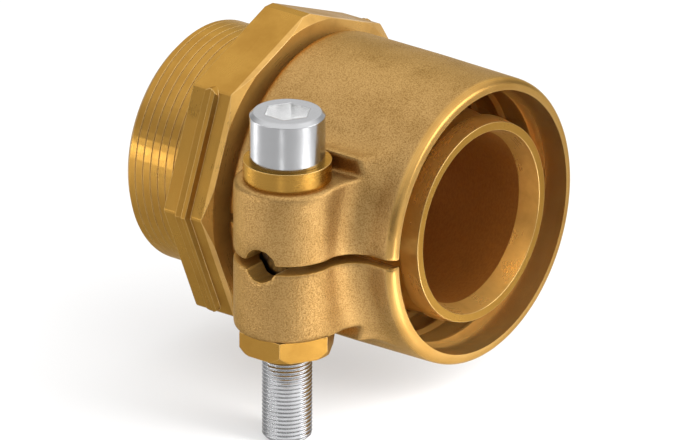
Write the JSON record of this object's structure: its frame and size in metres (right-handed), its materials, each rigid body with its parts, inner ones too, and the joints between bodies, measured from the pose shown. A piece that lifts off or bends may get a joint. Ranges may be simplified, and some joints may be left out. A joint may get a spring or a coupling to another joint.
{
  "type": "compression end fitting",
  "caption": "Brass end fitting with a male pipe thread, an octagon, a barbed spigot and a slit cast clamp sleeve that one cylinder-head screw closes on a plastic pipe.",
  "frame": {"origin": "on the pipe axis, at the octagon's thread-side face", "axes": "+X along the pipe axis towards the mouth that takes the plastic pipe, -X towards the male thread, +Z along the clamp screw towards its head, -Y towards the clamp lug"},
  "size_m": [0.0864, 0.0977, 0.0874],
  "materials": {
    "turned_brass": "turned and milled brass, satin, with fine tool marks",
    "cast_brass": "sand-cast brass, matt and finely grained",
    "screw_steel": "bright zinc-plated steel"
  },
  "bodies": {
    "root": {"fitting_body": "turned_brass", "clamp_sleeve": "cast_brass", "clamp_screw": "screw_steel", "clamp_washer": "turned_brass", "clamp_nut": "turned_brass"}
  },
  "joints": []
}
